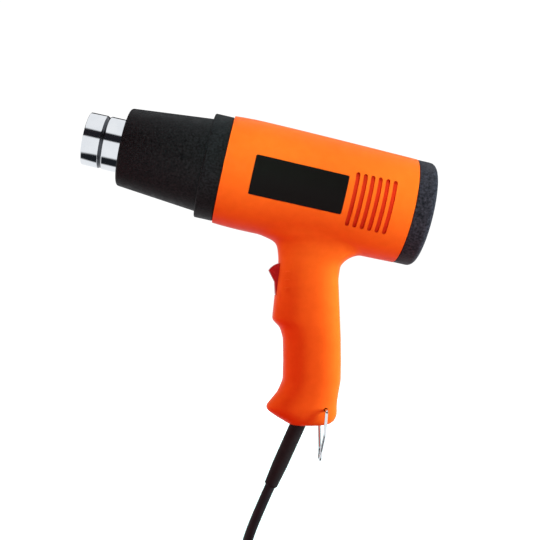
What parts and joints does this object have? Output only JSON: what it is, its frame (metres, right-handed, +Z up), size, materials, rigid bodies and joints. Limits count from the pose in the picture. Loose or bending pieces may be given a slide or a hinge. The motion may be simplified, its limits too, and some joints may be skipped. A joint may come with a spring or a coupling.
{
  "type": "hot air tool",
  "caption": "Hand-held hot air tool: orange two-piece housing with a rear blower, plated outlet tube in a black guard, rocker switch in the handle, hanging loop and coiled mains cord.",
  "frame": {"origin": "middle of the grip, in the plane that splits the housing, 100 mm below the barrel's axis", "axes": "-X out of the nozzle, +X to the rear cap, +Y to the tool's left when held (the screw-head side), +Z up, with the barrel's axis level along X"},
  "size_m": [0.2768, 0.1484, 0.3169],
  "materials": {
    "orange_nylon": "satin orange, fine spark texture",
    "black_plastic": "matt black, fine texture",
    "black_label": "smooth black foil",
    "black_rubber": "matt black rubber",
    "plated_steel": "polished plating",
    "zinc_steel": "zinc plated",
    "red_plastic": "glossy dark red",
    "grey_plastic": "plain grey",
    "mica": "laminated mica",
    "ceramic": "unglazed",
    "resistance_wire": "oxidised wire",
    "copper": "enamelled copper and iron",
    "brass": "plain brass",
    "dark_ferrite": "matt dark grey",
    "green_board": "glass fibre board",
    "blue_plastic": "blue insulation",
    "brown_plastic": "brown insulation"
  },
  "bodies": {
    "housing": {"left_shell": "orange_nylon", "right_shell": "orange_nylon", "heat_shield": "black_plastic", "rear_cap": "black_plastic", "switch_body": "black_plastic", "motor_lead": "black_plastic", "left_label": "black_label", "right_label": "black_label", "strain_relief": "black_rubber", "cord_tail": "black_rubber", "cord_coil": "black_rubber", "cord_lead": "black_rubber", "cord_plug_lead": "black_rubber", "cord_tie": "black_rubber", "plug_body": "black_rubber", "nozzle": "plated_steel", "housing_screw_1": "zinc_steel", "housing_screw_2": "zinc_steel", "housing_screw_3": "zinc_steel", "housing_screw_4": "zinc_steel", "housing_screw_5": "zinc_steel", "housing_screw_6": "zinc_steel", "thermal_fuse": "zinc_steel", "motor_can": "zinc_steel", "motor_screw_1": "zinc_steel", "motor_screw_2": "zinc_steel", "rocker_pin": "zinc_steel", "clamp_screw_1": "zinc_steel", "clamp_screw_2": "zinc_steel", "plug_pin_1": "zinc_steel", "plug_pin_2": "zinc_steel", "heater_lead": "red_plastic", "air_duct": "grey_plastic", "fan_housing": "grey_plastic", "cord_clamp": "grey_plastic", "mica_sleeve": "mica", "terminal_disc": "mica", "heater_core": "ceramic", "heating_coil": "resistance_wire", "magnet_ring": "dark_ferrite", "motor_end_bell": "dark_ferrite", "rectifier_board": "green_board", "capacitor": "blue_plastic", "neutral_lead": "blue_plastic", "live_lead": "brown_plastic"},
    "fan": {"impeller": "grey_plastic", "motor_shaft": "zinc_steel", "armature_core": "copper", "commutator": "brass"},
    "switch_rocker": {"rocker": "red_plastic"},
    "hanging_loop": {"bail": "plated_steel"}
  },
  "joints": [
    {"name": "fan_spin", "type": "hinge", "parent": "housing", "child": "fan", "pos_m": [-0.039, 0, 0.1], "axis": [1, 0, 0], "continuous": true},
    {"name": "rocker_tilt", "type": "hinge", "parent": "housing", "child": "switch_rocker", "pos_m": [-0.02824, 0, 0.03681], "axis": [0, 1, 0], "range_deg": [0, 30]},
    {"name": "loop_swing", "type": "hinge", "parent": "housing", "child": "hanging_loop", "pos_m": [0.01765, 0, -0.04105], "axis": [0, -1, 0], "range_deg": [-12, 80]}
  ]
}
